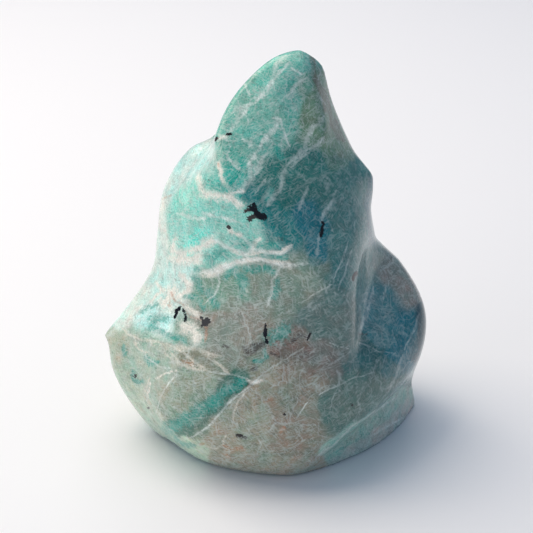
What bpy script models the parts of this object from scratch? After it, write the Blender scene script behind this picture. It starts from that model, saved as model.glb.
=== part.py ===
"""A polished amazonite flame carving, about 97 mm tall: one solid stone on a flat base.

The stone is modelled as a cage of lines. Each line runs from the base to the tip, up one ridge or up
the middle of one ground face, and has one point on each level. Creased edges keep the ridges sharp, a
Subdivision Surface rounds the faces between them, and the cage is first pushed out so that the rounded
surface passes through the points. The lines are in millimetres and the mesh is in metres. -Y is the
front, +X is to the right of someone who looks at the front, and +Z is up.
"""
import bmesh
import bpy

MM = 0.001
SUBDIVISIONS = 3
FITTING_ROUNDS = 12
KEPT_SHARE_OF_FACES = 0.56

STONE_COLOUR = (0.20, 0.42, 0.39, 1.0)
STONE_ROUGHNESS = 0.22

# Levels, from the base up. Every line has one point on each of them.
LEVELS = (
    "base", "lower_rim", "belly", "collar", "scoop", "waist", "shoulder", "dome", "notch", "leaf", "crest")

# The lines, counter-clockwise from the front as seen from above, in millimetres.
LINES = {
    "front_ridge": (
        (11, -22.3, 0), (12.5, -24.5, 5), (17, -28.5, 18), (18, -26, 31.5),
        (17.5, -24, 45), (9.5, -23.5, 57), (-4.5, -19, 68.5), (-9.6, -14.3, 74),
        (-11.2, -8.2, 78.9), (-7.2, -2.7, 86.4), (0.5, -0.3, 94.7)),
    "front_right_face": (
        (23, -14.4, 0), (24, -13.5, 9), (28, -19, 21), (22.5, -14.5, 35.5),
        (21.5, -13.5, 46), (18, -16, 58), (6.5, -17.3, 67.8), (3.2, -14.8, 73.2),
        (0.5, -11.5, 78), (2, -6.5, 86), (5, -2.8, 94.3)),
    "lobe_rim": (
        (32.4, -2.6, 0), (32.6, -1, 10), (35.6, -6, 24.5), (27.5, 1.5, 42.4),
        (24.4, -2.5, 49), (23, -6, 57.5), (17.5, -10.5, 67), (15, -9.8, 72),
        (13, -8.5, 77), (12.2, -5.5, 86), (9.6, -3.2, 93.6)),
    "right_ridge": (
        (37.8, 10, 0), (36.5, 8, 7.6), (38.9, 7, 27), (32.6, 11, 39.5),
        (26.2, 11, 46.1), (24.5, 7, 55.5), (25.2, 4, 64.9), (21.9, 4, 69.2),
        (19.2, 4, 73.6), (14.9, 4, 85), (12.9, 3.8, 92.4)),
    "back_right_face": (
        (27, 22.5, 0), (27.5, 24, 9), (28.5, 24, 21.5), (22, 24.5, 35.5),
        (15, 21.5, 44.5), (14, 18.5, 55), (16.5, 16.5, 64.5), (16.8, 14.8, 69),
        (16.5, 12.5, 73.8), (13, 9, 84), (11, 6, 91.5)),
    "back_ridge": (
        (4, 28, 0), (4, 31, 9), (3, 31.8, 20), (-3, 30.5, 32.5),
        (-7, 26.5, 43), (-4, 25, 54), (1, 22.5, 64.5), (3.3, 20.3, 69),
        (6, 17.5, 73.5), (7, 11.5, 83.5), (7.5, 7, 91.5)),
    "back_left_face": (
        (-17, 21, 0), (-20, 23, 8), (-23, 23.5, 19), (-23.5, 21, 30.5),
        (-18.5, 16, 41.5), (-16.5, 15.5, 52.5), (-13.5, 16, 62), (-10, 15.8, 67.8),
        (-5.5, 14.5, 72.5), (-0.5, 10, 82.8), (4.3, 6.3, 91.9)),
    "left_ridge": (
        (-27.3, 0.5, 0), (-31.7, 0.5, 6.5), (-36.9, -2, 18.7), (-38.7, -3, 26.5),
        (-27.1, 2, 41.8), (-25.4, 4.6, 52.5), (-23.2, 7, 62.2), (-17.6, 8, 70.4),
        (-12.6, 8, 73.1), (-4, 7.6, 83), (1.9, 4.9, 92.6)),
    "left_face": (
        (-22.8, -9, 0), (-27, -11.5, 6.5), (-31.2, -12.4, 18.5), (-32.4, -9.6, 29.9),
        (-24.4, -6.3, 40.6), (-21.6, -5, 51.5), (-21.5, -1, 61.5), (-16.6, 2.5, 69.5),
        (-12.5, 5, 73.3), (-5.5, 5.8, 83.5), (1, 3.9, 93.1)),
    "left_front_face": (
        (-15.9, -16.8, 0), (-19.5, -20, 5.5), (-23.5, -22.5, 17.5), (-22, -19, 31.4),
        (-18, -13.4, 41.5), (-15.5, -12, 53), (-17.5, -7.8, 63.7), (-15.8, -2.8, 70.3),
        (-12.3, 1.8, 74.5), (-6.6, 3.8, 84.3), (0.6, 2.9, 93.3)),
    "front_left_face": (
        (-7, -21.7, 0), (-9, -25.5, 4.7), (-11, -29.5, 17), (-9, -26.2, 31.4),
        (-8.8, -19.5, 43), (-7, -18, 54.5), (-13, -13.3, 65.5), (-13.8, -7.5, 71.8),
        (-12, -1.5, 76.2), (-7.3, 1.6, 85.1), (0.3, 1.8, 93.7)),
    "front_face": (
        (3, -23.7, 0), (3, -27.2, 4), (4, -31.5, 17), (5.5, -28.5, 30.5),
        (4.5, -24.5, 44.5), (1.5, -22, 56), (-8.8, -17, 67.2), (-11.6, -11.8, 73.4),
        (-11.8, -5, 77.7), (-7.6, -0.6, 86), (0.3, 0.7, 94.2)),
}
TIP = (7.9, 1.8, 97)

# How sharp each rim is where it crosses a line, from 0 for a soft bend to 1 for a crisp edge.
RIMS = {
    "base": {name: 1.0 for name in LINES},
    "lower_rim": {
        "front_ridge": 0.4, "front_right_face": 0.7, "lobe_rim": 0.9, "right_ridge": 0.8,
        "back_right_face": 0.6, "back_ridge": 0.5, "back_left_face": 0.4},
    "collar": {
        "left_ridge": 0.8, "left_face": 0.9, "left_front_face": 0.8, "front_left_face": 0.5,
        "front_ridge": 0.3, "front_right_face": 0.8, "lobe_rim": 1.0, "right_ridge": 0.8,
        "back_right_face": 0.7, "back_ridge": 0.7, "back_left_face": 0.8},
    "scoop": {"lobe_rim": 0.5, "right_ridge": 0.7, "back_right_face": 0.5},
    "shoulder": {"right_ridge": 1.0, "back_right_face": 0.8},
    "notch": {
        "front_ridge": 0.4, "front_face": 0.9, "front_left_face": 0.9, "left_front_face": 0.9,
        "left_face": 0.9, "left_ridge": 0.8},
}

# How sharp each upright ridge is at each level that it reaches.
RIDGES = {
    "front_ridge": {
        "scoop": 0.2, "waist": 0.4, "shoulder": 0.5, "dome": 0.8, "notch": 0.9, "leaf": 0.9, "crest": 0.8},
    "right_ridge": {"base": 0.8, "lower_rim": 0.6,
                    "waist": 0.3, "shoulder": 0.9, "dome": 0.9, "notch": 0.9, "leaf": 0.9, "crest": 0.8},
    "lobe_rim": {"notch": 0.2, "leaf": 0.8, "crest": 1.0},
    "left_ridge": {"collar": 0.8, "scoop": 0.5, "waist": 0.3},
    "back_ridge": {
        "collar": 0.4, "scoop": 0.6, "waist": 0.8, "shoulder": 0.8, "dome": 0.8, "notch": 0.8, "leaf": 0.6},
}


def clear_scene():
    for thing in list(bpy.data.objects):
        bpy.data.objects.remove(thing, do_unlink=True)


def crease_between(edge, layer, sharpness_one, sharpness_two):
    """An edge takes the mean sharpness of its two ends, where both ends have one."""
    if sharpness_one > 0 and sharpness_two > 0:
        edge[layer] = max(edge[layer], (sharpness_one + sharpness_two) / 2)


def build_cage():
    """The cage: a ring of points on each level, one face over the base, and a fan up to the tip."""
    bm = bmesh.new()
    layer = bm.edges.layers.float.new("crease_edge")
    names = list(LINES)
    rings = []
    for level in range(len(LEVELS)):
        rings.append([bm.verts.new([MM * value for value in LINES[name][level]]) for name in names])
    tip = bm.verts.new([MM * value for value in TIP])

    count = len(names)
    for lower, upper in zip(rings, rings[1:]):
        for i in range(count):
            j = (i + 1) % count
            bm.faces.new((lower[i], lower[j], upper[j], upper[i]))
    for i in range(count):
        bm.faces.new((rings[-1][i], rings[-1][(i + 1) % count], tip))
    bm.faces.new(reversed(rings[0]))

    for rim, sharpness in RIMS.items():
        ring = rings[LEVELS.index(rim)]
        for i in range(count):
            j = (i + 1) % count
            edge = bm.edges.get((ring[i], ring[j]))
            crease_between(edge, layer, sharpness.get(names[i], 0), sharpness.get(names[j], 0))
    for ridge, sharpness in RIDGES.items():
        i = names.index(ridge)
        for level in range(len(LEVELS) - 1):
            edge = bm.edges.get((rings[level][i], rings[level + 1][i]))
            crease_between(edge, layer, sharpness.get(LEVELS[level], 0), sharpness.get(LEVELS[level + 1], 0))
        if "crest" in sharpness:
            bm.edges.get((rings[-1][i], tip))[layer] = sharpness["crest"]

    mesh = bpy.data.meshes.new("amazonite_flame")
    bm.to_mesh(mesh)
    bm.free()
    return mesh


def rounded_points(stone, count):
    """Where the cage's own points lie on the rounded surface."""
    graph = bpy.context.evaluated_depsgraph_get()
    graph.update()
    rounded = stone.evaluated_get(graph)
    points = [vertex.co.copy() for vertex in rounded.to_mesh().vertices[:count]]
    rounded.to_mesh_clear()
    return points


def fit_cage(stone):
    """Push the cage out until the rounded surface passes through the points given above."""
    mesh = stone.data
    targets = [vertex.co.copy() for vertex in mesh.vertices]
    for _ in range(FITTING_ROUNDS):
        reached = rounded_points(stone, len(targets))
        for vertex, target, now in zip(mesh.vertices, targets, reached):
            vertex.co += target - now
        mesh.update()


def centre_on_base(stone):
    """Move the mesh so that the middle of its box is over the origin."""
    graph = bpy.context.evaluated_depsgraph_get()
    graph.update()
    rounded = stone.evaluated_get(graph)
    points = [vertex.co.copy() for vertex in rounded.to_mesh().vertices]
    rounded.to_mesh_clear()
    for axis in (0, 1):
        values = [point[axis] for point in points]
        middle = (min(values) + max(values)) / 2
        for vertex in stone.data.vertices:
            vertex.co[axis] -= middle
    stone.data.update()


def stone_material():
    material = bpy.data.materials.new("polished_amazonite")
    material.use_nodes = True
    shader = material.node_tree.nodes["Principled BSDF"]
    shader.inputs["Base Color"].default_value = STONE_COLOUR
    shader.inputs["Roughness"].default_value = STONE_ROUGHNESS
    shader.inputs["Metallic"].default_value = 0.0
    return material


def build_flame():
    mesh = build_cage()
    stone = bpy.data.objects.new("amazonite_flame", mesh)
    bpy.context.collection.objects.link(stone)
    mesh.materials.append(stone_material())

    rounding = stone.modifiers.new("rounded_faces", "SUBSURF")
    rounding.levels = SUBDIVISIONS
    rounding.render_levels = SUBDIVISIONS
    fit_cage(stone)
    centre_on_base(stone)

    thinning = stone.modifiers.new("fewer_faces_where_flat", "DECIMATE")
    thinning.ratio = KEPT_SHARE_OF_FACES
    mesh.shade_smooth()
    return stone


clear_scene()
build_flame()
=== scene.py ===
# %% [markdown]
# # A polished amazonite flame
#
# The thing on the table is one piece of stone: amazonite, a blue-green feldspar, ground into the shape of a
# flame and polished until it shines. It has no parts to put together. All its character is in three things:
# the swept ridges, the milky veins and blots inside the stone, and the gloss of its skin. This lesson makes
# them in that order, and sets the stone on a pale table in soft daylight.
#
# The frame that is loaded first holds the stone at its real size. Everything after it is built round that.

# %% Load the frame
import math

import bpy
import numpy as np
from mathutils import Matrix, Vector, noise


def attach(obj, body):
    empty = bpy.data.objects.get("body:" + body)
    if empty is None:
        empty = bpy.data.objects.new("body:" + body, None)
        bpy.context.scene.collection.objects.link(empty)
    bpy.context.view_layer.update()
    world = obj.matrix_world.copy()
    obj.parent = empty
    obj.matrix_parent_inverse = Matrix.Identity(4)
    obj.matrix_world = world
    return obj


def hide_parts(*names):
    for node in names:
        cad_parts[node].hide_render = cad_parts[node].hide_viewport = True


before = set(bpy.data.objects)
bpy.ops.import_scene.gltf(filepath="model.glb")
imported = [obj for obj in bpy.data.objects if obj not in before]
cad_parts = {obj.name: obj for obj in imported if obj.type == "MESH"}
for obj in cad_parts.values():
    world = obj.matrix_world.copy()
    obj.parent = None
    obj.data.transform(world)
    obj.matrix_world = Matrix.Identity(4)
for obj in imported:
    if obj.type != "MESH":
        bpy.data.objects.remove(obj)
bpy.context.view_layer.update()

MM = 0.001
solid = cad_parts["amazonite_flame"]


# %% [markdown]
# ## Four small helpers
#
# An operator works on whatever is selected, so each step first makes its own object the only selected one.
# Colours are written as the hex values that a colour picker shows, and light adds up in linear values, so
# one function turns hex into linear. `aim` turns a lamp or a camera towards a point. `ease` is the soft
# step from 0 to 1 that every edge in this lesson is made with.

# %% Helpers
def select_only(thing):
    """Make this object the only selected one, and the active one."""
    bpy.ops.object.select_all(action="DESELECT")
    thing.select_set(True)
    bpy.context.view_layer.objects.active = thing


def linear(hex_colour):
    """An sRGB hex colour as the linear RGBA that a shader reads."""
    channels = [int(hex_colour[start:start + 2], 16) / 255 for start in (1, 3, 5)]
    return (*[c / 12.92 if c <= 0.04045 else ((c + 0.055) / 1.055) ** 2.4 for c in channels], 1.0)


def aim(place, target):
    """The rotation that turns a lamp or a camera at this place towards the target."""
    return (Vector(target) - Vector(place)).to_track_quat("-Z", "Y").to_euler()


def ease(value, start, end):
    """0 before the start, 1 after the end, and a soft slope between them."""
    share = np.clip((value - start) / (end - start), 0, 1)
    return share * share * (3 - 2 * share)


print("mid grey, as the shader reads it:", round(linear("#808080")[0], 3))


# %% [markdown]
# ## The camera
#
# The stone is seen from a little above, as by someone who stands at the table. A long lens from close to
# half a metre away keeps the upright lines upright. The angle was found by matching the outline: from 26
# degrees up, the far rim of the flat base is just hidden, and the tip and the widest lobe fall where the
# eye expects them.

# %% Camera
PICTURE_SIDE = 533
LENS_MM = 128
SENSOR_MM = 36
CAMERA_HEIGHT_ANGLE = math.radians(26)
CAMERA_DISTANCE = 450 * MM
NEAREST_SEEN = 10 * MM
LOOKED_AT = Vector((0, 0, 43.1 * MM))

towards_camera = Vector((0, -math.cos(CAMERA_HEIGHT_ANGLE), math.sin(CAMERA_HEIGHT_ANGLE)))
camera_place = LOOKED_AT + CAMERA_DISTANCE * towards_camera
bpy.ops.object.camera_add(location=camera_place, rotation=aim(camera_place, LOOKED_AT))
camera = bpy.context.object
camera.name = "table_camera"
camera.data.lens = LENS_MM
camera.data.sensor_width = SENSOR_MM
camera.data.clip_start = NEAREST_SEEN
bpy.context.scene.camera = camera
FOCAL_PIXELS = PICTURE_SIDE * LENS_MM / SENSOR_MM
PIXEL_MM = CAMERA_DISTANCE / MM / FOCAL_PIXELS
print("one pixel on the stone is", round(PIXEL_MM, 3), "mm")


# %% [markdown]
# ## The skin of the stone
#
# A stone like this is sawn, ground on finer and finer wheels, and then tumbled or buffed. The ridges stay,
# but every one ends up with a small radius, and the faces between them swell a little. The solid in the
# frame has flat triangles about a millimetre wide, and polish would show each of them.
#
# It could be subdivided, but that keeps the pattern of the triangles. Sculpting by hand would do, but not
# twice the same. Remeshing is closest to what the polisher does: a new, even net of half-millimetre faces
# is laid over the same form, and a smoothing brush then runs over all of it, so that the wheel marks go and
# the ridges keep a small radius.

# %% Copy, merge, remesh and smooth
MERGE_GAP = 0.001 * MM
SKIN_FACE = 0.53 * MM
POLISHING_STROKES = 9
POLISHING_PRESSURE = 0.5
stone = bpy.data.objects.new("polished_flame", solid.data.copy())
bpy.context.scene.collection.objects.link(stone)
stone.data.materials.clear()
select_only(stone)
bpy.ops.object.mode_set(mode="EDIT")
bpy.ops.mesh.select_all(action="SELECT")
bpy.ops.mesh.remove_doubles(threshold=MERGE_GAP)
bpy.ops.object.mode_set(mode="OBJECT")

skin = stone.modifiers.new("even_skin", "REMESH")
skin.mode = "VOXEL"
skin.voxel_size = SKIN_FACE
skin.use_smooth_shade = True
bpy.ops.object.modifier_apply(modifier=skin.name)

polish = stone.modifiers.new("polish", "SMOOTH")
polish.factor = POLISHING_PRESSURE
polish.iterations = POLISHING_STROKES
bpy.ops.object.modifier_apply(modifier=polish.name)
bpy.ops.object.shade_smooth()
for vertex in stone.data.vertices:
    vertex.co.z = max(vertex.co.z, 0.0)
print("faces in the skin:", len(stone.data.polygons))


# %% [markdown]
# ## Two maps of the surface
#
# Each vein and blot has to sit at its own place, so the marks are drawn as short strokes, as a painter
# would. A stroke needs a flat map to be drawn on. Texture images are one way, but a stroke with a width
# can be made coarser, finer or softer later, and it never shows pixels.
#
# The side that faces the viewer is mapped by what the camera sees: a place on it has two picture
# coordinates, in pixels of the finished picture. The far side is mapped by unrolling it like a label from a
# jar: a bearing in degrees, counted from the front round by the right, and a height in millimetres.
# `front_share` says how much each point of the mesh belongs to the first map. A little wandering is added
# to both, so that a stroke with few points still runs like a vein and not like a ruler. Without a seed,
# `noise_vector` starts from the clock, and the marks would lie a little differently on each run.

# %% Where every point of the mesh lies on the two maps
WANDER_STEP = 3.2 * MM
WANDER_PIXELS = 1.3
WANDER_SEED = 7
LABEL_RADIUS_MM = 26
TURNED_AWAY = -0.08
TURNED_TO_VIEWER = 0.14

point_count = len(stone.data.vertices)
points = np.empty(point_count * 3)
stone.data.vertices.foreach_get("co", points)
points = points.reshape(point_count, 3)
normals = np.empty(point_count * 3)
stone.data.vertex_normals.foreach_get("vector", normals)
normals = normals.reshape(point_count, 3)

offsets = points - np.array(camera_place)
picture_up = np.array((0, math.sin(CAMERA_HEIGHT_ANGLE), math.cos(CAMERA_HEIGHT_ANGLE)))
depths = -offsets @ np.array(towards_camera)
picture = np.column_stack((PICTURE_SIDE / 2 + FOCAL_PIXELS * offsets[:, 0] / depths,
                           PICTURE_SIDE / 2 - FOCAL_PIXELS * (offsets @ picture_up) / depths))
sight_lines = -offsets / np.linalg.norm(offsets, axis=1, keepdims=True)
facing = np.einsum("ij,ij->i", normals, sight_lines)
front_share = ease(facing, TURNED_AWAY, TURNED_TO_VIEWER)

noise.seed_set(WANDER_SEED)
wander = np.array([noise.noise_vector(Vector(point) / WANDER_STEP)[:2] for point in points])
picture += WANDER_PIXELS * wander

bearings = np.degrees(np.arctan2(points[:, 0], -points[:, 1])) % 360
label = np.column_stack((np.radians(bearings) * LABEL_RADIUS_MM, points[:, 2] / MM))
label += WANDER_PIXELS * PIXEL_MM * wander
print("share of the points on the front map:", round(float(front_share.mean()), 2))


# %% [markdown]
# ## Strokes
#
# A stroke is a row of places with a half width. For every point of the mesh, `follow` finds how far away
# the nearest bit of the stroke is, on which side, and how far along. `draw` keeps the nearest of many
# strokes. It measures in half widths, so the edge of any stroke is at 1 and its middle is at 0, whatever
# its size.
#
# A vein can be thinner than the faces of the mesh, so it needs one trick. The plain distance never reaches
# 0 between two mesh points, and the vein would break into beads. The distance with a sign, minus on one
# side and plus on the other, does cross 0 exactly at the middle. So veins keep both: the signed one draws
# the line, and the plain one tells where that line may be drawn at all.

# %% Follow a stroke
SHORTEST_STEP = 1e-6


def follow(places, stroke):
    """Signed distance from every place to a row of places, and how far along its nearest bit is."""
    corners = np.array(stroke, dtype=float)
    steps = corners[1:] - corners[:-1]
    lengths = np.maximum(np.hypot(steps[:, 0], steps[:, 1]), SHORTEST_STEP)
    starts = np.concatenate(([0], np.cumsum(lengths)))
    nearest = np.full(len(places), np.inf)
    signed = np.full(len(places), np.inf)
    along = np.zeros(len(places))
    for corner, step, length, start in zip(corners, steps, lengths, starts):
        offset = places - corner
        share = np.clip(offset @ step / length ** 2, 0, 1)
        gap = offset - share[:, None] * step
        distance = np.hypot(gap[:, 0], gap[:, 1])
        side = np.where(step[0] * offset[:, 1] - step[1] * offset[:, 0] < 0, -1, 1)
        closer = distance < nearest
        nearest = np.where(closer, distance, nearest)
        signed = np.where(closer, side * distance, signed)
        along = np.where(closer, (start + share * length) / starts[-1], along)
    return signed, along


beside, halfway = follow(np.array([[2.0, 1.0]]), [(0, 0), (4, 0)])
print("beside the middle of a stroke: distance", beside[0], "and share of its length", halfway[0])

# %% Draw a set of strokes
FAR = 6.0
REACH_IN_WIDTHS = 7.0
TAPERED_SHARE = 0.12
END_WIDTH = 0.35


def draw(places, strokes, belongs, tapered=False):
    """Signed and plain distance to the nearest of many strokes, in half widths, and far off the map."""
    signed = np.full(point_count, FAR)
    plain = np.full(point_count, FAR)
    for half_width, *stroke in strokes:
        corners = np.array(stroke)
        reach = REACH_IN_WIDTHS * half_width
        near = np.all((places > corners.min(0) - reach) & (places < corners.max(0) + reach), axis=1)
        near &= belongs > 0
        across, along = follow(places[near], stroke)
        widths = np.full(across.shape, float(half_width))
        if tapered:
            widths *= END_WIDTH + (1 - END_WIDTH) * ease(np.minimum(along, 1 - along), 0, TAPERED_SHARE)
        across = across / widths
        distance = np.abs(across)
        closer = distance < plain[near]
        plain[near] = np.where(closer, distance, plain[near])
        signed[near] = np.where(closer, across, signed[near])
    hidden = FAR * (1 - belongs)
    return np.clip(signed + np.sign(signed) * hidden, -FAR, FAR), np.clip(plain + hidden, 0, FAR)


print("a stroke reaches this far, in half widths:", REACH_IN_WIDTHS)


# %% Keep a result on the mesh, and lay strokes on the label
def store(name, values):
    """Keep one value for each point of the mesh under this name, for the material to read."""
    attribute = stone.data.attributes.new(name, "FLOAT", "POINT")
    attribute.data.foreach_set("value", np.asarray(values, dtype=np.float32))


def on_label(strokes):
    """Strokes given by bearing in degrees and height in millimetres, as places on the unrolled map."""
    return [(half_width, *[(math.radians(bearing) * LABEL_RADIUS_MM, height) for bearing, height in stroke])
            for half_width, *stroke in strokes]


print("one degree on the label is", round(math.radians(1) * LABEL_RADIUS_MM, 2), "mm")


# %% [markdown]
# ## The white veins
#
# Late in its growth the feldspar cracked and healed, and the healed cracks are full of white albite. They
# cross the leaf of the flame from upper right to lower left, almost side by side, because the crystal
# splits along flat planes. Lower down they branch and close round islands of clear green. Each row starts
# with its half width in pixels, and then gives the places it runs through.

# %% Veins on the front
FRONT_VEINS = [
    (1.3, (275.5, 63), (274.7, 76.7), (270.9, 84.4), (266.3, 92), (257.1, 99.7), (251, 105.8)),
    (1.5, (257.1, 99.7), (251, 105.8), (244.9, 107.3), (238.8, 109.6), (232, 113)),
    (1.3, (247, 109), (241.8, 115), (235.7, 122.6), (231, 127.2), (229, 133)),
    (0.9, (287.8, 63), (283.2, 69), (275, 77)),
    (0.8, (291, 68), (297, 71), (303, 75)),
    (1.1, (307, 78), (299, 83), (291, 90), (284, 96)),
    (0.9, (242, 79), (247, 88), (250, 97)),
    (1.5, (280.1, 119.6), (276.3, 128.8), (267.9, 134.9), (263.3, 142.5), (258.7, 150.2), (252, 158),
     (248, 162)),
    (2.1, (248, 162), (249.5, 170.1), (250.2, 179.3), (244.9, 186.9), (235.7, 191.5)),
    (0.7, (270, 118), (280, 119), (284, 133), (290, 148)),
    (0.7, (241.8, 138.7), (249.5, 141), (251, 145.6)),
    (0.7, (253, 136), (252.5, 143), (248, 148)),
    (1.6, (323.7, 116), (318.5, 124), (312, 128), (307.5, 137), (304.6, 144), (300, 150.2)),
    (1.5, (324, 136.4), (318.4, 144), (312.2, 148.7), (303, 150.2), (295.4, 156.3), (287.8, 164)),
    (1.5, (287.8, 164), (284.7, 173.2), (281.6, 185.4), (272.5, 199.2), (266.3, 206.8)),
    (0.8, (318, 148), (308, 154), (300, 158), (291, 168)),
    (1.1, (307.7, 185.4), (303, 199.2), (298.5, 210)),
    (1.1, (336.7, 190), (332, 200.7), (324.5, 211.4), (320, 224)),
    (1.0, (319.6, 232), (318.4, 240), (316.8, 256)),
    (1.3, (267.9, 153.3), (263.3, 159.4), (257.1, 167), (255, 172)),
    (0.9, (266.3, 177.8), (260.2, 185.4), (255.6, 193)),
    (0.8, (262, 168), (257, 169), (256.5, 174)),
    (0.8, (228, 157), (234, 165), (239, 170)),
    (1.2, (199, 273.9), (207, 271), (216.4, 269.5), (225, 266), (233.8, 264), (246.8, 258.7)),
    (1.1, (246.8, 258.7), (259.8, 259.8), (275, 265.2), (290, 266), (309.7, 263)),
    (1.0, (232, 248), (245, 254), (252, 248), (265, 253), (283, 253), (291, 248)),
    (1.0, (214, 240), (222, 246), (232, 248)),
    (0.9, (279.3, 266), (279.3, 269.5), (272.8, 280.4), (271.7, 293.4), (266.3, 308.5)),
    (0.6, (218, 272), (219, 283), (214, 296), (206, 303)),
    (1.1, (204, 213), (214, 216), (224, 218), (236, 222)),
    (1.0, (176, 213), (186, 215), (197, 219), (207, 218)),
    (0.8, (240, 232), (246, 240), (252, 248)),
    (0.6, (188, 438.6), (199, 432), (212, 423.5), (225, 406), (246.8, 388.8), (264, 373.6)),
    (1.0, (373, 286), (370.4, 302), (366, 315), (357.4, 336.7)),
    (0.7, (402.9, 354), (396.4, 375.8), (387.7, 393)),
    (0.5, (386, 285), (384, 300)),
    (0.6, (420, 312), (414, 330), (404, 350)),
    (0.35, (356, 341), (380, 352), (398, 353)),
    (0.4, (307.5, 401.8), (296.7, 417)),
    (0.4, (318, 396), (329, 388.8), (350, 380), (374.7, 372)),
    (0.6, (398, 396), (381, 407), (366, 418), (350.9, 427.8), (333.5, 445), (311.8, 460.3)),
    (0.5, (408, 415), (390, 425), (370, 436)),
    (0.5, (349, 240), (341, 262), (333, 280)),
    (0.5, (352, 248), (346, 268), (338, 292)),
    (0.4, (300, 303), (318, 292), (334, 283)),
    (0.5, (128, 331), (140, 345), (147, 358), (158, 366), (172, 370)),
    (0.6, (206, 371), (220, 373), (236, 375), (246, 378)),
    (0.45, (178, 372), (168, 384), (160, 397), (156, 414)),
    (0.3, (300, 334), (318, 339), (338, 346), (352, 350)),
    (0.45, (262, 374), (278, 364), (296, 352), (306, 346)),
]

# %% [markdown]
# The beige lines are healed cracks too, with a trace of iron in them. They fan out from the left point of
# the stone along its collar, and a smooth lens of clear grey-green lies between two of them.

# %% Beige and rusty lines on the front
FRONT_BEIGE_LINES = [
    (1.3, (121, 327), (128, 334), (140, 339.5), (157, 342), (173, 346), (192, 348), (206, 351.6), (222, 356)),
    (1.2, (150, 345), (164, 351), (172, 360), (188.7, 368), (206, 370)),
    (0.8, (157, 345), (168, 349), (176, 358), (180, 366)),
    (1.1, (164, 344), (182, 351), (196, 362), (206, 369)),
    (1.1, (196, 349), (210, 358), (222, 367), (230, 374)),
    (0.8, (133, 342), (139, 350), (148, 353)),
    (0.8, (247, 392), (238, 402), (233, 412), (233, 424)),
    (0.8, (150, 378), (146, 388), (149, 398)),
    (0.9, (205, 446), (216, 449), (223, 443), (226, 436)),
]
FRONT_RUST = [
    (0.8, (171.4, 293.5), (175.7, 302), (181.8, 304), (188.8, 316), (199, 318.6), (204, 322)),
    (0.9, (204, 322), (206.5, 330), (204.4, 342)),
    (1.9, (183, 361), (193, 365)),
    (1.3, (224, 446), (229, 448)),
    (1.6, (232, 451), (237, 450)),
    (1.2, (241, 447), (244, 450)),
    (1.2, (227, 456), (230, 458)),
    (1.0, (200.5, 445), (203, 444)),
    (0.8, (217.6, 163), (218.3, 166)),
    (0.9, (163, 199), (172, 195)),
    (1.4, (265, 402), (271, 399)),
    (1.2, (281, 432), (284, 427)),
    (0.9, (170, 302), (168, 306)),
]

# %% [markdown]
# ## Cream, black, brown and clear green
#
# Cream blots are clots of albite, thickest where the shoulder meets the leaf and round the waist. There
# they are also a painted highlight: the window's glare on those glossy faces is painted in as extra white.
# The black specks are small crystals of a dark mineral, with crisp edges, in clusters and along one crack.
# Brown smudges are clay and iron beside that crack. The clear green and turquoise places are feldspar with
# few threads of albite in it, so the colour is deep there.

# %% Blots and specks on the front
# The blots round the shoulder and the waist are partly albite and partly a painted highlight.
FRONT_CREAM_AND_HIGHLIGHT = [
    (2.6, (199.2, 177.8), (201.2, 186), (203.5, 193.3)),
    (3.6, (205.5, 194), (218.8, 196.3), (230, 197.5)),
    (2.7, (230, 198), (238.2, 203.5), (241, 205)),
    (1.8, (217.6, 163), (221, 173), (221.6, 179), (227, 187)),
    (1.5, (221, 138), (227, 136)),
    (1.6, (236, 192), (240, 190), (244, 191.5)),
    (3.4, (174, 241), (172.9, 250.4), (181, 252)),
    (3.6, (181, 253), (195.3, 249.4), (203.5, 245.3), (211.6, 241.2)),
    (5.0, (173.9, 258.6), (187, 259.6), (199, 258.6)),
    (1.8, (230, 231), (235, 233), (241, 235)),
    (3.6, (204.5, 274), (217.8, 270.8), (226, 264.7)),
    (2.2, (226, 264.7), (242.2, 261.6), (260.6, 258.6), (272.9, 261.6), (289.2, 266)),
    (2.0, (263, 258.6), (276, 263), (288, 264.5)),
    (1.7, (230, 249), (237.1, 253.5), (250.4, 253.5), (262.7, 252.4), (281, 252), (290, 246.3)),
    (1.8, (250.4, 252.4), (254.5, 243.2), (259.6, 239.2)),
    (2.6, (196, 283), (188, 284), (182, 276)),
    (5.4, (164.5, 303), (169, 297), (172, 293)),
    (3.0, (176, 297), (183, 293), (188, 290)),
    (2.6, (187, 307.6), (193, 311), (198, 316)),
    (4.6, (184, 326), (192, 330), (197, 338)),
    (1.6, (157, 283), (163, 291)),
    (1.3, (247, 379), (252, 383), (262, 381)),
    (1.2, (150, 302), (156, 296), (163, 291)),
    (1.4, (242, 283), (247, 292)),
    (0.9, (156, 379), (165, 373), (176, 371)),
    (0.8, (150, 384), (148, 394)),
]
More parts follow.
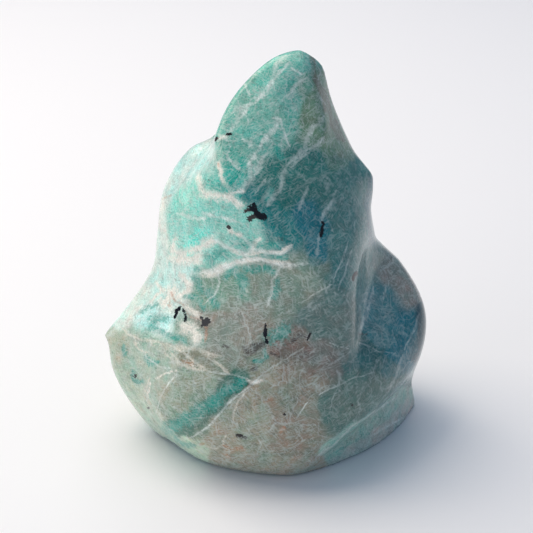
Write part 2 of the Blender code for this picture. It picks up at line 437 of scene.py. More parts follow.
FRONT_BLACK = [
    (2.5, (249, 209), (253.2, 207)),
    (1.8, (244.4, 211.6), (248, 209.6)),
    (2.0, (253.4, 204.6), (254.4, 210), (256.6, 214)),
    (2.5, (259.2, 216.4), (264.2, 217.6)),
    (2.3, (249.8, 218.8), (252.2, 217)),
    (1.3, (214.7, 140.5), (217.3, 138.7)),
    (1.1, (226.5, 135.2), (231, 134)),
    (1.1, (209.2, 180.3), (209.8, 180.3)),
    (1.4, (228.8, 227.4), (229.8, 228)),
    (1.5, (323, 222.5), (321.5, 229), (320.7, 236)),
    (1.4, (355.9, 272.7), (354.8, 275.5), (353.6, 278.8)),
    (1.1, (174.6, 317.8), (176, 313.5)),
    (1.9, (176.5, 311), (179.6, 308)),
    (1.5, (183, 309.6), (184, 311.4)),
    (1.4, (185.4, 315.4), (185, 321)),
    (2.7, (205.2, 323.6), (207, 322)),
    (0.9, (201, 318), (203.4, 321.6)),
    (0.8, (201.4, 327.6), (203.6, 325)),
    (1.1, (265.6, 323.7), (265.2, 329)),
    (1.5, (265.6, 330), (266, 336)),
    (1.3, (266.5, 337.7), (267.6, 343)),
    (1.2, (134.8, 375.8), (135.3, 375.8)),
    (1.1, (147.8, 408.3), (148.3, 408.3)),
    (1.3, (236.5, 434.5), (241, 435.8)),
    (1.2, (351.3, 404.6), (352.5, 406)),
    (1.1, (283.9, 413.7), (284.6, 413.7)),
    (1.1, (310.5, 334), (307.5, 339)),
]
FRONT_BROWN = [
    (2.6, (246, 348.5), (248, 352), (253, 352)),
    (3.0, (253, 348.5), (262, 344.5)),
    (1.8, (252, 369.5), (256.5, 369)),
    (1.3, (293, 341), (301, 334), (309, 337)),
    (1.0, (279, 239), (283, 240)),
    (1.0, (270, 352), (280, 357)),
    (1.1, (224, 346), (229, 347)),
    (1.2, (236, 436), (246, 438)),
    (0.9, (359, 333), (367, 334)),
]
FRONT_CLEAR_GREEN = [
    (5.2, (209.5, 259.5), (217, 255), (224.5, 252.5)),
    (2.6, (195.5, 268.5), (197.5, 269)),
    (3.8, (194.5, 279), (198.5, 284), (200.5, 289)),
    (2.0, (184.5, 297), (190, 296.5), (196, 297)),
    (2.8, (199, 302), (203.5, 308)),
    (2.8, (225.5, 278), (231, 271), (236, 269.5)),
    (3.2, (248, 269), (257, 270), (267, 268)),
    (2.6, (270, 271), (273.5, 272)),
    (3.0, (278.5, 282), (275.5, 289), (274, 297)),
    (2.2, (261.5, 255.6), (275, 256.2), (286, 257.4)),
    (4.2, (240, 244), (245, 248), (247.5, 243)),
    (3.0, (259, 246), (268, 247), (277, 244)),
    (3.0, (207, 292), (213, 298), (216, 305)),
    (3.6, (236, 273), (244, 281), (243, 291)),
    (4.2, (208, 185), (214, 187), (223, 188)),
    (3.2, (229, 186), (233, 181), (239, 172), (242, 160)),
    (5.6, (272, 338), (280, 335), (284, 331)),
    (1.9, (265, 350), (266, 356)),
    (1.6, (253, 361), (262, 360)),
    (3.0, (152, 321), (158, 318), (165, 318)),
    (2.4, (150, 327), (156, 330), (163, 333)),
    (2.2, (168, 334), (176, 338), (184, 341)),
    (1.7, (142, 312), (149, 307)),
    (1.5, (151, 308), (157, 304)),
    (1.8, (123, 347), (125, 354)),
    (2.0, (146, 358), (150, 364), (157, 362)),
    (1.5, (132, 370), (134, 380), (142, 382)),
    (2.4, (272, 190), (268, 198)),
    (2.2, (276, 146), (282, 158)),
    (5.4, (168, 430), (180, 423), (190, 417)),
    (5.0, (190, 417), (204, 408), (214, 402)),
    (4.6, (214, 400), (226, 391), (240, 381)),
    (2.4, (208, 400), (200, 410)),
    (2.0, (176, 438), (184, 444), (194, 447)),
]
print("strokes on the front:", sum(len(group) for group in (
    FRONT_VEINS, FRONT_BEIGE_LINES, FRONT_RUST, FRONT_CREAM_AND_HIGHLIGHT, FRONT_BLACK, FRONT_BROWN, FRONT_CLEAR_GREEN)))


# %% [markdown]
# ## The far side
#
# Nobody has seen the far side of this stone, but the veins are sheets that run right through it, so they
# come out there as well. The same kinds of marks are drawn on the unrolled label: long veins that lean the
# same way, a net of short ones round the waist, a few cream clots, specks and clear places.

# %% Marks on the far side
FAR_VEINS = [
    (0.22, (70, 80), (82, 72), (96, 66), (110, 55), (118, 44)),
    (0.19, (64, 62), (76, 56), (88, 47), (97, 36), (112, 30)),
    (0.30, (150, 88), (160, 80), (172, 74), (181, 64), (196, 58), (204, 47)),
    (0.22, (181, 64), (178, 55), (184, 47), (181, 38)),
    (0.20, (128, 78), (136, 70), (140, 60), (152, 52), (158, 42), (170, 36)),
    (0.32, (196, 84), (204, 76), (216, 70), (222, 60), (236, 53), (245, 44), (262, 38)),
    (0.19, (222, 60), (228, 50), (226, 40), (234, 31)),
    (0.22, (250, 74), (258, 66), (262, 56), (274, 50), (280, 42)),
    (0.19, (262, 56), (254, 48), (256, 38)),
    (0.29, (120, 33), (136, 29), (150, 31), (166, 26), (184, 28), (200, 22)),
    (0.20, (200, 22), (214, 25), (230, 20), (246, 23), (262, 17)),
    (0.19, (136, 29), (140, 20), (150, 12), (152, 4)),
    (0.22, (184, 28), (190, 19), (202, 13), (206, 3)),
    (0.17, (230, 20), (236, 12), (248, 7)),
    (0.19, (84, 30), (96, 24), (104, 14), (118, 9), (128, 3)),
    (0.17, (60, 40), (70, 34), (84, 30)),
    (0.22, (268, 30), (276, 22), (284, 12), (282, 3)),
    (0.17, (166, 66), (172, 74)),
    (0.17, (210, 92), (206, 84), (204, 76)),
]
FAR_CREAM = [
    (0.9, (203, 47), (209, 45), (213, 47)),
    (0.7, (216, 70), (221, 67)),
    (0.8, (150, 31), (157, 29)),
    (0.6, (262, 38), (268, 36)),
    (0.6, (110, 55), (114, 52)),
    (0.9, (244, 44), (250, 43), (254, 41)),
    (0.6, (181, 38), (184, 35)),
    (0.5, (160, 80), (164, 78)),
]
FAR_BLACK = [
    (0.42, (206, 50), (208, 52)),
    (0.38, (208, 52), (211, 51.5)),
    (0.30, (148, 34), (147, 37)),
    (0.26, (118, 61), (119, 61)),
    (0.30, (252, 33), (253, 30)),
    (0.22, (176, 17), (177, 17)),
    (0.24, (228, 66), (229, 67)),
    (0.24, (92, 41), (93, 43)),
]
FAR_BROWN = [
    (0.5, (213, 44), (219, 42)),
    (0.45, (146, 26), (151, 24)),
    (0.4, (256, 29), (260, 27)),
]
FAR_CLEAR_GREEN = [
    (1.1, (170, 68), (174, 60), (176, 52)),
    (1.0, (212, 60), (216, 52)),
    (1.2, (186, 42), (194, 38), (198, 33)),
    (0.9, (240, 62), (246, 56)),
    (1.2, (160, 20), (170, 16), (180, 20)),
    (1.0, (216, 14), (224, 10)),
    (0.9, (132, 50), (138, 44)),
    (0.9, (104, 44), (100, 50)),
    (0.8, (268, 14), (272, 20)),
]
print("strokes on the far side:", len(FAR_VEINS + FAR_CREAM + FAR_BLACK + FAR_BROWN + FAR_CLEAR_GREEN))

# %% [markdown]
# Each kind of mark is now drawn on both maps. Where the maps overlap, the nearer stroke counts. The result
# is kept on the mesh under the mark's name, for the material to read. A line keeps its signed distance, and
# its plain one as a gate. A blot needs the plain one alone.

# %% Keep the marks on the mesh
far_share = 1 - front_share
for name, front_strokes, far_strokes, is_line in (
        ("vein", FRONT_VEINS, FAR_VEINS, True),
        ("beige_line", FRONT_BEIGE_LINES, [], True),
        ("rust", FRONT_RUST, [], False),
        ("cream", FRONT_CREAM_AND_HIGHLIGHT, FAR_CREAM, False),
        ("black", FRONT_BLACK, FAR_BLACK, False),
        ("brown", FRONT_BROWN, FAR_BROWN, False),
        ("clear_green", FRONT_CLEAR_GREEN, FAR_CLEAR_GREEN, False)):
    signed, plain = draw(picture, front_strokes, front_share, tapered=is_line)
    far_signed, far_plain = draw(label, on_label(far_strokes), far_share, tapered=is_line)
    signed = np.where(far_plain < plain, far_signed, signed)
    plain = np.minimum(far_plain, plain)
    store(name, signed if is_line else plain)
    if is_line:
        store(name + "_gate", plain)
    print("points of the mesh inside", name, "strokes:", int((plain < 1).sum()))


# %% [markdown]
# ## The ground colours
#
# Under the marks the stone is not one colour. Lead and water in the feldspar make it anything from mint to
# slate blue, and where the albite threads are thick it goes grey or beige. Noise alone would put those
# colours anywhere, so they are laid in like a watercolour: first a wash that drifts between deep green,
# mint, grey and beige in three dimensions, and then broad soft strokes, each with its own colour, half
# width and softness. The result is one colour for each point of the mesh, and the material puts the fine
# grain into it.

# %% A wash over the whole stone
WASH_COLOURS = ("#4F8B86", "#8CBFB1", "#748C86", "#A39F8C")
WASH_STEP = 11 * MM
BEIGE_STEP = 6 * MM
DRIFT_REACH = 0.35
GREY_SHARE = 0.8
BEIGE_SHARE = 0.6


def tint_of(hex_colour):
    """An sRGB hex colour as three linear values."""
    return np.array(linear(hex_colour)[:3])


def drift(step, seed):
    """Slow noise from 0 to 1, one value for each point of the mesh."""
    shift = Vector((seed, 2 * seed, 3 * seed))
    values = np.array([noise.noise(Vector(point) / step + shift) for point in points])
    return ease(values, -DRIFT_REACH, DRIFT_REACH)


mint_wash = drift(WASH_STEP, seed=1.7)
grey_wash = drift(WASH_STEP, seed=9.2)
beige_wash = drift(BEIGE_STEP, seed=4.4)
deep, mint, grey, beige = [tint_of(colour) for colour in WASH_COLOURS]
tint = deep + (mint - deep) * mint_wash[:, None]
tint += (grey - tint) * (GREY_SHARE * grey_wash)[:, None]
tint += (beige - tint) * (BEIGE_SHARE * grey_wash * beige_wash)[:, None]
print("mean of the wash:", [round(float(value), 3) for value in tint.mean(0)])

# %% [markdown]
# Each row of the next table is one soft stroke: its name, its colour, its half width and softness in
# pixels, and the places it runs through. Between the strokes the colours run into each other. Four of
# them also hold painted light: on the shoulder, the left edge, the waist and the top of the collar the
# colour is lighter than the stone, as a painted highlight of the window on faces that turn up and left.

# %% Soft strokes of colour on the front
FRONT_GROUND = {
    "leaf_top": ("#71BBAA", 13, 10, (287, 60), (260, 77), (240, 98), (228, 125)),
    "leaf_middle": ("#76B8A9", 15, 12, (300, 72), (285, 105), (262, 130), (238, 152)),
    "leaf_right": ("#729379", 14, 12, (312, 85), (322, 120), (338, 155)),
    "leaf_low": ("#3B7C74", 18, 12, (350, 180), (320, 172), (290, 178), (275, 190)),
    "leaf_turquoise": ("#54BBAB", 8, 8, (233, 155), (238, 172), (230, 186)),
    "leaf_foot": ("#388886", 10, 10, (262, 195), (272, 215), (285, 235)),
    "blue_column": ("#2C7D87", 7, 8, (302, 212), (316, 232), (318, 258)),
    "grey_column": ("#588782", 14, 12, (350, 190), (352, 225), (348, 260), (337, 290)),
    "neck_edge": ("#45757D", 3, 3, (370, 182), (369, 215), (371, 240)),
    "brown_facet": ("#5F4734", 3, 3, (311, 62), (319, 86), (327, 108), (341, 138)),
    # Painted highlight: pale stone on the shoulder, made lighter still by the window's glare painted into it.
    "shoulder_pale_and_highlight": ("#CCE3DC", 8, 8, (203, 150), (190, 160), (178, 172), (168, 192)),
    "shoulder_turquoise": ("#8FD8C7", 16, 10, (190, 205), (215, 215), (240, 228)),
    "shoulder_clear": ("#3EF3DE", 5, 6, (189, 249), (195, 239), (204, 230)),
    "shoulder_low": ("#9BDDCE", 14, 10, (185, 235), (205, 240), (225, 248)),
    # Painted highlight: a pale rim along the left outline, partly pale stone and partly the window's glare.
    "left_edge_highlight": ("#DDE9DF", 5, 6, (161, 205), (159, 225), (158, 248), (152, 270), (135, 300), (118, 325)),
    # Painted highlight: cream stone on the waist, made whiter by the window's glare painted into it.
    "waist_cream_and_highlight": ("#E1F3E9", 10, 8, (180, 275), (175, 287), (168, 298)),
    "waist_green": ("#74A08A", 12, 10, (215, 285), (225, 300), (240, 290)),
    "waist_centre": ("#859383", 18, 14, (265, 290), (290, 290), (312, 275)),
    "centre_grey": ("#959082", 14, 12, (215, 328), (235, 335), (245, 320), (232, 312)),
    "centre_green": ("#627B75", 18, 14, (335, 305), (345, 330), (320, 315)),
    # Painted highlight: turquoise stone made almost white by the window's light on the up-turned collar top.
    "collar_turquoise_and_highlight": ("#DAF3ED", 8, 6, (148, 316), (165, 324)),
    "collar_cream": ("#91AA9A", 8, 7, (182, 330), (195, 338)),
    "belly_left": ("#B6C2AB", 10, 9, (114, 340), (118, 365), (130, 392), (150, 418)),
    "belly_green": ("#B1C2AF", 14, 12, (145, 355), (150, 375), (160, 390)),
    "belly_beige": ("#9CA791", 15, 10, (172, 400), (185, 395), (200, 385), (190, 410)),
    "collar_lens": ("#828A74", 5, 4, (188, 357), (210, 363), (224, 369)),
    "teal_band": ("#4B7666", 9, 6, (175, 428), (200, 415), (225, 392), (240, 380)),
    "low_left": ("#A8A38E", 18, 12, (232, 432), (252, 412), (270, 390)),
    "low_centre": ("#968D7C", 20, 14, (302, 382), (290, 405), (300, 430)),
    "low_pink": ("#847A72", 14, 12, (312, 362), (334, 352)),
    "brown_heart": ("#81766B", 8, 8, (287, 347), (300, 338)),
    "right_dark": ("#5B7C73", 18, 12, (340, 408), (362, 390), (385, 376)),
    "right_low": ("#396C6B", 12, 10, (352, 358), (372, 358)),
    "lobe_blue": ("#57898D", 13, 9, (379, 302), (375, 320), (385, 334)),
    "lobe_low": ("#1A7683", 12, 10, (403, 330), (403, 350), (394, 366)),
    "lobe_tip": ("#8A8D86", 10, 12, (392, 268), (402, 276), (413, 286)),
    "lobe_edge": ("#194D57", 4, 5, (424, 308), (421, 330), (414, 358)),
    "low_band": ("#A0C1B1", 7, 5, (402, 394), (380, 416), (352, 436), (330, 452)),
    "low_rim": ("#C3C6BB", 6, 6, (406, 408), (392, 424), (368, 443), (338, 461)),
    "foot_front": ("#AEA693", 7, 6, (215, 459), (250, 467), (290, 468), (320, 464)),
    "foot_left": ("#C3D3BA", 6, 6, (165, 434), (188, 449), (203, 456)),
}
print("soft strokes:", len(FRONT_GROUND))

# %% [markdown]
# Every point of the mesh takes a share of every stroke, and the share falls off steeply with distance. So a
# stroke rules its own ground, and halfway between two strokes their colours meet evenly. A little of the
# wash is kept on the front too, or its zones would be flatter than the far side's.

# %% Blend the strokes into one colour for each point
GROUND_WANDER = 3.0
LEAST_GAP = 0.22
FALL_OFF = 3.5
WASH_ON_FRONT = 0.22


def blend(places, strokes):
    """The colour at every place: a mix of the strokes around it, in which the nearest weigh most."""
    mixed = np.zeros((len(places), 3))
    total = np.zeros(len(places))
    for colour, half_width, softness, *stroke in strokes:
        outside = np.maximum(np.abs(follow(places, stroke)[0]) - half_width, 0)
        weight = 1 / (LEAST_GAP + outside / softness) ** FALL_OFF
        mixed += weight[:, None] * tint_of(colour)
        total += weight
    return mixed / total[:, None]


front_tint = blend(picture + GROUND_WANDER * wander, FRONT_GROUND.values())
front_tint *= (tint / tint.mean(0)) ** WASH_ON_FRONT
tint += (front_tint - tint) * front_share[:, None]
tint_map = stone.data.attributes.new("tint", "FLOAT_COLOR", "POINT")
tint_map.data.foreach_set("color", np.column_stack((tint, np.ones(point_count))).astype(np.float32).ravel())
print("mean colour of the stone:", [round(float(value), 3) for value in tint.mean(0)])


# %% [markdown]
# ## Polished amazonite
#
# Amazonite is a feldspar with threads of white albite unmixed inside it, in a felt of fine lines that cross
# at every angle. That felt is what makes the stone look soft under a hard gloss. The colour of each point
# comes from the map above. The drawn marks go on first, and the mottle, the grain and the felt are laid
# over all of them, because a clot or a vein is made of the same grains as the rest. Black crystals come
# last.
#
# Feldspar has an IOR of 1.52, and a good polish leaves it with a low roughness, so the window shows as a
# soft bright sweep on the ridges and not as a mirror image.
#
# One helper, `add`, makes a node with its settings and links. A Mix node keeps a socket for each kind of
# value: 0 is the factor, 2 and 3 are its numbers, 6 and 7 are its colours, and the mixed colour is its
# output 2. Noise seldom leaves the middle of its range, so each noise below has the range that it really
# covers beside it.

# %% The material and its one helper
FELDSPAR_IOR = 1.52

amazonite = bpy.data.materials.new("polished_amazonite")
amazonite.use_nodes = True
tree = amazonite.node_tree
shader = tree.nodes["Principled BSDF"]
shader.inputs["IOR"].default_value = FELDSPAR_IOR
shader.inputs["Metallic"].default_value = 0.0


def add(kind, inputs=(), **settings):
    """Add a node to the stone's material, with its settings, and with values or links in its inputs."""
    node = tree.nodes.new(kind)
    for name, value in settings.items():
        setattr(node, name, value)
    for socket, value in dict(inputs).items():
        if isinstance(value, bpy.types.NodeSocket):
            tree.links.new(value, node.inputs[socket])
        else:
            node.inputs[socket].default_value = value
    return node


place = add("ShaderNodeTexCoord").outputs["Object"]
print("the IOR of feldspar:", FELDSPAR_IOR)

# %% Three sizes of noise that everything below shares
GRAIN_MM = 0.42
MOTTLE_MM = 2.4
STAIN_MM = 3.4
GRAIN_LOW, GRAIN_HIGH = 0.28, 0.72
MOTTLE_LOW, MOTTLE_HIGH = 0.3, 0.7
STAIN_LOW, STAIN_HIGH = 0.34, 0.66
NOISE_MIDDLE = 0.5
grain = add("ShaderNodeTexNoise", {
    "Vector": place, "Scale": 1 / (GRAIN_MM * MM), "Detail": 2.0, "Roughness": 0.6}).outputs["Fac"]
mottle = add("ShaderNodeTexNoise", {
    "Vector": place, "Scale": 1 / (MOTTLE_MM * MM), "Detail": 4.0, "Roughness": 0.65}).outputs["Fac"]
stain = add("ShaderNodeTexNoise", {
    "Vector": place, "Scale": 1 / (STAIN_MM * MM), "Detail": 4.0, "Roughness": 0.6}).outputs["Fac"]
print("grain, mottle and stain in mm:", GRAIN_MM, MOTTLE_MM, STAIN_MM)

# %% [markdown]
# ## Stains
#
# Even inside one zone the colour wavers between teal, where the feldspar is clear, and a warm beige, where
# iron has crept in along the threads. Two tints that are multiplied in do it: one takes red away and one
# adds it. The dark blue places hold less albite than the pale ones, so everything white is weaker there.

# %% Waver between teal and beige
TEAL_STAIN = (0.79, 1.04, 1.02, 1.0)
BEIGE_STAIN = (1.11, 0.98, 0.95, 1.0)
DARK_DEPTH, PALE_DEPTH = 0.08, 0.3
WHITENESS_IN_DARK = 0.35
tint_colour = add("ShaderNodeAttribute", attribute_name="tint").outputs["Color"]
stain_share = add("ShaderNodeMapRange", {
    "Value": stain, "From Min": STAIN_LOW, "From Max": STAIN_HIGH}).outputs[0]
stain_colour = add("ShaderNodeMix", {
    0: stain_share, 6: TEAL_STAIN, 7: BEIGE_STAIN}, data_type="RGBA").outputs[2]
colour = add("ShaderNodeMix", {
    0: 1.0, 6: tint_colour, 7: stain_colour}, data_type="RGBA", blend_type="MULTIPLY").outputs[2]
depth = add("ShaderNodeRGBToBW", {"Color": tint_colour}).outputs[0]
whiteness = add("ShaderNodeMapRange", {
    "Value": depth, "From Min": DARK_DEPTH, "From Max": PALE_DEPTH, "To Min": WHITENESS_IN_DARK}).outputs[0]
print("nodes so far:", len(tree.nodes))

# %% [markdown]
# ## The drawn marks
#
# A drawn stroke has a clean edge, and a stone has none. So noise is added to each distance before it is
# turned into a mask: broad noise makes the edge bulge, and noise as fine as the grain frays it. Veins and
# beige lines first use the signed distance for the line and then the plain one as a gate. Every kind of
# mark has its own colour and softness, and a most that it may cover, because all of these are milky or
# cloudy and let some of the ground through.

# %% Fray a stroke
FRAY_FINE_MM = 0.5
FRAY_BROAD_MM = 1.9
BROAD_SHARE = 0.5
FRAY_LOW, FRAY_HIGH = 0.32, 0.68
fine_fray = add("ShaderNodeTexNoise", {
    "Vector": place, "Scale": 1 / (FRAY_FINE_MM * MM), "Detail": 2.0, "Roughness": 0.7}).outputs["Fac"]
broad_fray = add("ShaderNodeTexNoise", {
    "Vector": place, "Scale": 1 / (FRAY_BROAD_MM * MM), "Detail": 2.0, "Roughness": 0.6}).outputs["Fac"]
fray_noise = add("ShaderNodeMix", {0: BROAD_SHARE, 2: fine_fray, 3: broad_fray}).outputs[0]
fray = add("ShaderNodeMapRange", {
    "Value": fray_noise, "From Min": FRAY_LOW, "From Max": FRAY_HIGH, "To Min": -1.0}).outputs[0]


def frayed(attribute, amount):
    """The distance kept under this name, in half widths, with a frayed edge."""
    distance = add("ShaderNodeAttribute", attribute_name=attribute).outputs["Fac"]
    shift = add("ShaderNodeMath", {0: fray, 1: amount}, operation="MULTIPLY").outputs[0]
    return add("ShaderNodeMath", {0: distance, 1: shift}, operation="ADD").outputs[0]


print("the noise that frays is", FRAY_FINE_MM, "and", FRAY_BROAD_MM, "mm coarse")

# %% Lay the blots over the colour
BLOTS_ON_STONE = (
    # attribute, colour, frayed by, soft from, soft to, most
    ("cream", "#F6F0E2", 1.15, 2.1, 0.1, 0.9),
    ("clear_green", "#34A394", 1.1, 2.0, 0.3, 0.74),
    ("brown", "#4C4440", 1.1, 2.0, 0.4, 0.8),
    ("rust", "#BE7A50", 1.2, 2.4, 0.2, 0.5),
)
cover = {}
for name, mark_colour, amount, soft_from, soft_to, most in BLOTS_ON_STONE:
    cover[name] = add("ShaderNodeMapRange", {
        "Value": frayed(name, amount), "From Min": soft_from, "From Max": soft_to, "To Max": most},
        interpolation_type="SMOOTHSTEP").outputs[0]
    colour = add("ShaderNodeMix", {
        0: cover[name], 6: colour, 7: linear(mark_colour)}, data_type="RGBA").outputs[2]
print("nodes so far:", len(tree.nodes))

# %% Lay the lines over them
LINES_ON_STONE = (
    # attribute, colour, frayed by, soft from, soft to, most
    ("beige_line", "#EAE2D0", 1.1, 2.3, 0.1, 0.95),
    ("vein", "#EAF0E8", 1.8, 2.9, 0.0, 0.8),
)
GATE_OPEN, GATE_SHUT = 2.4, 3.4
CLEAR_MOTTLE, MILKY_MOTTLE = 0.35, 0.65
LEAST_MILKINESS = 0.35
milkiness = add("ShaderNodeMapRange", {
    "Value": mottle, "From Min": CLEAR_MOTTLE, "From Max": MILKY_MOTTLE,
    "To Min": LEAST_MILKINESS}).outputs[0]
for name, mark_colour, amount, soft_from, soft_to, most in LINES_ON_STONE:
    distance = add("ShaderNodeMath", {0: frayed(name, amount)}, operation="ABSOLUTE").outputs[0]
    mask = add("ShaderNodeMapRange", {
        "Value": distance, "From Min": soft_from, "From Max": soft_to, "To Max": most},
        interpolation_type="SMOOTHSTEP").outputs[0]
    plain_distance = add("ShaderNodeAttribute", attribute_name=name + "_gate").outputs["Fac"]
    gate = add("ShaderNodeMapRange", {
        "Value": plain_distance, "From Min": GATE_SHUT, "From Max": GATE_OPEN},
        interpolation_type="SMOOTHSTEP").outputs[0]
    for thinned_by in (gate, milkiness, whiteness):
        mask = add("ShaderNodeMath", {0: mask, 1: thinned_by}, operation="MULTIPLY").outputs[0]
    colour = add("ShaderNodeMix", {
        0: mask, 6: colour, 7: linear(mark_colour)}, data_type="RGBA").outputs[2]
print("nodes so far:", len(tree.nodes))

# %% [markdown]
# ## Hairline veins
#
# Between the drawn veins run many hairlines, too many to draw. A Voronoi pattern splits space into cells,
# and the distance to the nearest cell wall is 0 on a net of flat sheets, as cracks are. Its coordinates are
# pushed about first, so that no wall stays straight, and the stain noise hides most of the net.

# %% Hairlines
HAIRLINE_CELL_MM = 8.5
HAIRLINE_WIDTH_MM = 0.32
HAIRLINE_COLOUR = "#D3E0DA"
HAIRLINE_MOST = 0.45
HAIRLINE_PATCH_LOW, HAIRLINE_PATCH_HIGH = 0.42, 0.6
PUSH_STEP_MM = 4.5
PUSH_MM = 5.0
push_noise = add("ShaderNodeTexNoise", {
    "Vector": place, "Scale": 1 / (PUSH_STEP_MM * MM), "Detail": 3.0}).outputs["Color"]
centred = add("ShaderNodeVectorMath", {
    0: push_noise, 1: (NOISE_MIDDLE,) * 3}, operation="SUBTRACT").outputs[0]
push = add("ShaderNodeVectorMath", {0: centred, "Scale": PUSH_MM * MM}, operation="SCALE").outputs[0]
pushed = add("ShaderNodeVectorMath", {0: place, 1: push}, operation="ADD").outputs[0]
wall = add("ShaderNodeTexVoronoi", {
    "Vector": pushed, "Scale": 1 / (HAIRLINE_CELL_MM * MM)}, feature="DISTANCE_TO_EDGE").outputs["Distance"]
hairline = add("ShaderNodeMapRange", {
    "Value": wall, "From Min": HAIRLINE_WIDTH_MM / HAIRLINE_CELL_MM, "From Max": 0.0},
    interpolation_type="SMOOTHSTEP").outputs[0]
hair_patch = add("ShaderNodeMapRange", {
    "Value": stain, "From Min": HAIRLINE_PATCH_LOW, "From Max": HAIRLINE_PATCH_HIGH, "To Max": HAIRLINE_MOST},
    interpolation_type="SMOOTHSTEP").outputs[0]
hair_mask = add("ShaderNodeMath", {0: hairline, 1: hair_patch}, operation="MULTIPLY").outputs[0]
hair_mask = add("ShaderNodeMath", {0: hair_mask, 1: whiteness}, operation="MULTIPLY").outputs[0]
colour = add("ShaderNodeMix", {
    0: hair_mask, 6: colour, 7: linear(HAIRLINE_COLOUR)}, data_type="RGBA").outputs[2]
print("nodes so far:", len(tree.nodes))

# %% [markdown]
# ## Grain and mottle
#
# The stone is a mass of grains. The pale ones are albite and the deep ones clear feldspar, so where the
# grain is light the colour is also weaker. The grain here is about twice as coarse as the real one, or it
# would be lost between the pixels.

# %% Grain and mottle
DEEP_GRAIN, PALE_GRAIN = 0.82, 1.18
DEEP_MOTTLE, PALE_MOTTLE = 0.84, 1.16
VIVID_GRAIN, DULL_GRAIN = 1.28, 0.72
grain_light = add("ShaderNodeMapRange", {
    "Value": grain, "From Min": GRAIN_LOW, "From Max": GRAIN_HIGH,
    "To Min": DEEP_GRAIN, "To Max": PALE_GRAIN}).outputs[0]
mottle_light = add("ShaderNodeMapRange", {
    "Value": mottle, "From Min": MOTTLE_LOW, "From Max": MOTTLE_HIGH,
    "To Min": DEEP_MOTTLE, "To Max": PALE_MOTTLE}).outputs[0]
lightness = add("ShaderNodeMath", {0: grain_light, 1: mottle_light}, operation="MULTIPLY").outputs[0]
vividness = add("ShaderNodeMapRange", {
    "Value": grain, "From Min": GRAIN_LOW, "From Max": GRAIN_HIGH,
    "To Min": VIVID_GRAIN, "To Max": DULL_GRAIN}).outputs[0]
vivid = add("ShaderNodeHueSaturation", {"Color": colour, "Saturation": vividness}).outputs[0]
colour = add("ShaderNodeMix", {
    0: 1.0, 6: vivid, 7: lightness}, data_type="RGBA", blend_type="MULTIPLY").outputs[2]
print("nodes so far:", len(tree.nodes))

# %% [markdown]
# ## The felt of albite threads
#
# The felt could be drawn as thousands of short strokes. It is quicker as a contour: where slow noise passes
# through its middle value it traces a fine sheet, and noise that is stretched along two of its axes traces
# flat ones, which the skin of the stone cuts in nearly straight lines. Several such sets, each turned
# another way and broken up by a patchy mask, cross like the threads do. A Mapping node of the kind for
# points would stretch first and turn afterwards, which leaves all sets side by side, so this one is of the
# kind for textures.
#
# Real threads are a few hundredths of a millimetre thick. These are drawn several times as thick, so that
# they show as single lines in the picture, and for that reason they are also fewer.

# %% A mask of threads
THREAD_SPACING_MM = 0.52
THREAD_LENGTHS = 7.0
THREAD_EDGE = 0.06
FELT_PATCH_MM = 1.9
FELT_PATCH_LOW, FELT_PATCH_HIGH = 0.44, 0.56
PATCH_STEP = 3.7


def threads(turns):
    """A mask of fine threads that run in these directions, each in patches of its own."""
    felt = 0.0
    for number, turn in enumerate(turns):
        turned = add("ShaderNodeMapping", {
            "Vector": place, "Rotation": [math.radians(angle) for angle in turn],
            "Scale": (1, THREAD_LENGTHS, THREAD_LENGTHS)}, vector_type="TEXTURE").outputs[0]
        contour = add("ShaderNodeTexNoise", {
            "Vector": turned, "Scale": 1 / (THREAD_SPACING_MM * MM), "Detail": 0.0}).outputs["Fac"]
        level = add("ShaderNodeMath", {0: contour, 1: NOISE_MIDDLE}, operation="SUBTRACT").outputs[0]
        distance = add("ShaderNodeMath", {0: level}, operation="ABSOLUTE").outputs[0]
        thread = add("ShaderNodeMapRange", {
            "Value": distance, "From Min": THREAD_EDGE, "From Max": 0.0},
            interpolation_type="SMOOTHSTEP").outputs[0]
        patch = add("ShaderNodeTexNoise", {
            "Vector": place, "W": PATCH_STEP * (number + len(turns)), "Scale": 1 / (FELT_PATCH_MM * MM),
            "Detail": 1.0}, noise_dimensions="4D").outputs["Fac"]
        shown = add("ShaderNodeMapRange", {
            "Value": patch, "From Min": FELT_PATCH_LOW, "From Max": FELT_PATCH_HIGH},
            interpolation_type="SMOOTHSTEP").outputs[0]
        thread = add("ShaderNodeMath", {0: thread, 1: shown}, operation="MULTIPLY").outputs[0]
        felt = add("ShaderNodeMath", {0: felt, 1: thread}, operation="MAXIMUM").outputs[0]
    return felt


print("threads, in mm: apart", THREAD_SPACING_MM, "and long", round(THREAD_SPACING_MM * THREAD_LENGTHS, 1))

# %% Dark threads first, and pale ones over them
LEFT_ON_CREAM = 0.6
THREADS_IN_STONE = (
    # colour, most, and the turn of each set in degrees
    ("#2F4A49", 0.34, ((15, 36, 135), (75, -44, 40))),
    ("#D2DDD4", 0.45, ((0, 58, 45), (30, 12, 130), (60, -28, 50), (90, -66, 140))),
)
off_cream = add("ShaderNodeMapRange", {
    "Value": cover["cream"], "To Min": 1.0, "To Max": LEFT_ON_CREAM}).outputs[0]
for thread_colour, most, turns in THREADS_IN_STONE:
    share = add("ShaderNodeMath", {0: threads(turns), 1: most}, operation="MULTIPLY").outputs[0]
    for thinned_by in (off_cream, whiteness):
        share = add("ShaderNodeMath", {0: share, 1: thinned_by}, operation="MULTIPLY").outputs[0]
    colour = add("ShaderNodeMix", {
        0: share, 6: colour, 7: linear(thread_colour)}, data_type="RGBA").outputs[2]
print("nodes so far:", len(tree.nodes))

# %% [markdown]
# ## Black crystals
#
# The black crystals are harder and purer than the stone round them, so they let nothing through and no
# thread crosses them. They go on last, with a narrow edge that only the fraying makes uneven.

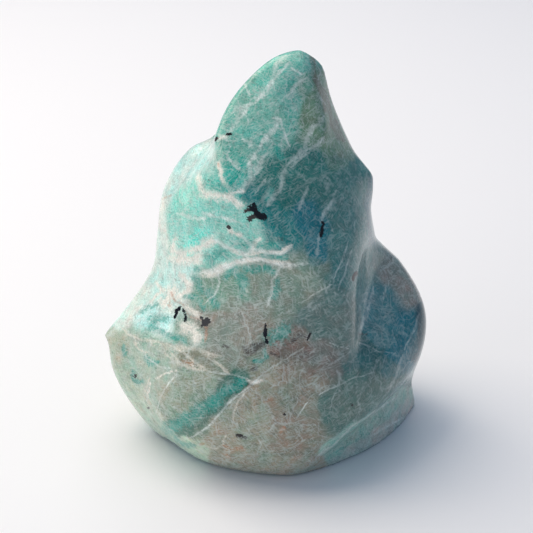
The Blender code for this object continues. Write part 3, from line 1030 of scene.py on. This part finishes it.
# %% Black crystals
BLACK_CRYSTAL = "#0A0A0D"
CRYSTAL_FRAY = 1.0
CRYSTAL_OUTER_EDGE, CRYSTAL_INNER_EDGE = 1.45, 0.95
crystal_mask = add("ShaderNodeMapRange", {
    "Value": frayed("black", CRYSTAL_FRAY), "From Min": CRYSTAL_OUTER_EDGE, "From Max": CRYSTAL_INNER_EDGE},
    interpolation_type="SMOOTHSTEP").outputs[0]
colour = add("ShaderNodeMix", {
    0: crystal_mask, 6: colour, 7: linear(BLACK_CRYSTAL)}, data_type="RGBA").outputs[2]
tree.links.new(colour, shader.inputs["Base Color"])
print("nodes so far:", len(tree.nodes))

# %% [markdown]
# ## The polish
#
# The hard green parts take a higher polish than the clotted white ones, so the roughness drifts a little.
# The skin is not a perfect sweep either: hand polishing leaves it rippled by a few hundredths of a
# millimetre.

# %% Gloss and ripple
BEST_POLISH, WORST_POLISH = 0.10, 0.22
RIPPLE_MM = 3.0
RIPPLE_HEIGHT = 0.03 * MM
RIPPLE_STRENGTH = 0.5
roughness = add("ShaderNodeMapRange", {
    "Value": mottle, "From Min": MOTTLE_LOW, "From Max": MOTTLE_HIGH,
    "To Min": BEST_POLISH, "To Max": WORST_POLISH}).outputs[0]
ripple = add("ShaderNodeTexNoise", {
    "Vector": place, "Scale": 1 / (RIPPLE_MM * MM), "Detail": 2.0}).outputs["Fac"]
bump = add("ShaderNodeBump", {
    "Height": ripple, "Strength": RIPPLE_STRENGTH, "Distance": RIPPLE_HEIGHT}).outputs[0]
tree.links.new(roughness, shader.inputs["Roughness"])
tree.links.new(bump, shader.inputs["Normal"])
stone.data.materials.append(amazonite)
print("roughness from", BEST_POLISH, "to", WORST_POLISH, "and nodes in the material:", len(tree.nodes))


# %% [markdown]
# ## The table and the light
#
# The stone stands on a plain pale table next to a window. The window is high on the left and a little
# behind, so the left side almost melts into the background and the shadow falls to the right, towards the
# viewer. The open sky through the same window sends a second, wider light from almost overhead. A pale wall
# in front on the left throws some back, low down, so it lights the upright faces and hardly the table. The
# rest of the room sends back a weak bluish light, which is all that fills the shadow. One small lamp would
# give a hard shadow. Lamps as large as windows give one that is dark at the foot and fades within a hand's
# width.

# %% The table
TABLE_SIDE = 6.0
TABLE_WHITE = "#F4F4F4"
TABLE_ROUGHNESS = 0.7
bpy.ops.mesh.primitive_plane_add(size=TABLE_SIDE)
table = bpy.context.object
table.name = "table_top"
paint = bpy.data.materials.new("matt_white_paint")
paint.use_nodes = True
paint_shader = paint.node_tree.nodes["Principled BSDF"]
paint_shader.inputs["Base Color"].default_value = linear(TABLE_WHITE)
paint_shader.inputs["Roughness"].default_value = TABLE_ROUGHNESS
table.data.materials.append(paint)
print("the table is", TABLE_SIDE, "m wide, so that no view sees its edge close by")

# %% Window, sky and wall
LIT_POINT = Vector((0, 0, 50 * MM))
WINDOW_BEARING = math.radians(24)
WINDOW_HEIGHT_ANGLE = math.radians(54)
WINDOW_DISTANCE = 0.667
window_direction = Vector((-math.cos(WINDOW_BEARING) * math.cos(WINDOW_HEIGHT_ANGLE),
                           math.sin(WINDOW_BEARING) * math.cos(WINDOW_HEIGHT_ANGLE),
                           math.sin(WINDOW_HEIGHT_ANGLE)))
LAMPS = (
    # name, place, side in metres, watts, colour
    ("window", LIT_POINT + WINDOW_DISTANCE * window_direction, 0.57, 3.25, (1.0, 0.877, 0.725)),
    ("sky", Vector((-0.081, 0.269, 0.7)), 0.7, 2.45, (1.0, 0.944, 0.902)),
    ("wall", Vector((-0.62, -0.45, 0.25)), 0.7, 1.5, (1.0, 0.97, 0.93)),
)
for name, where, side, watts, light_colour in LAMPS:
    bpy.ops.object.light_add(type="AREA", location=where, rotation=aim(where, LIT_POINT))
    lamp = bpy.context.object
    lamp.name = name
    lamp.data.size = side
    lamp.data.energy = watts
    lamp.data.color = light_colour
    print(name, "stands at", [round(value, 2) for value in where], "m")

# %% The room
ROOM_COLOUR = (0.51, 0.69, 1.0)
ROOM_STRENGTH = 0.345
room = bpy.data.worlds.new("room")
bpy.context.scene.world = room
room.use_nodes = True
room_light = room.node_tree.nodes["Background"]
room_light.inputs["Color"].default_value = (*ROOM_COLOUR, 1.0)
room_light.inputs["Strength"].default_value = ROOM_STRENGTH
bpy.context.scene.view_settings.view_transform = "Standard"
print("the room's own light:", ROOM_STRENGTH)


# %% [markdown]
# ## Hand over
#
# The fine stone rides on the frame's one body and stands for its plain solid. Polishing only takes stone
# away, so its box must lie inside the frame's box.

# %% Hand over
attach(stone, "root")
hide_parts("amazonite_flame")
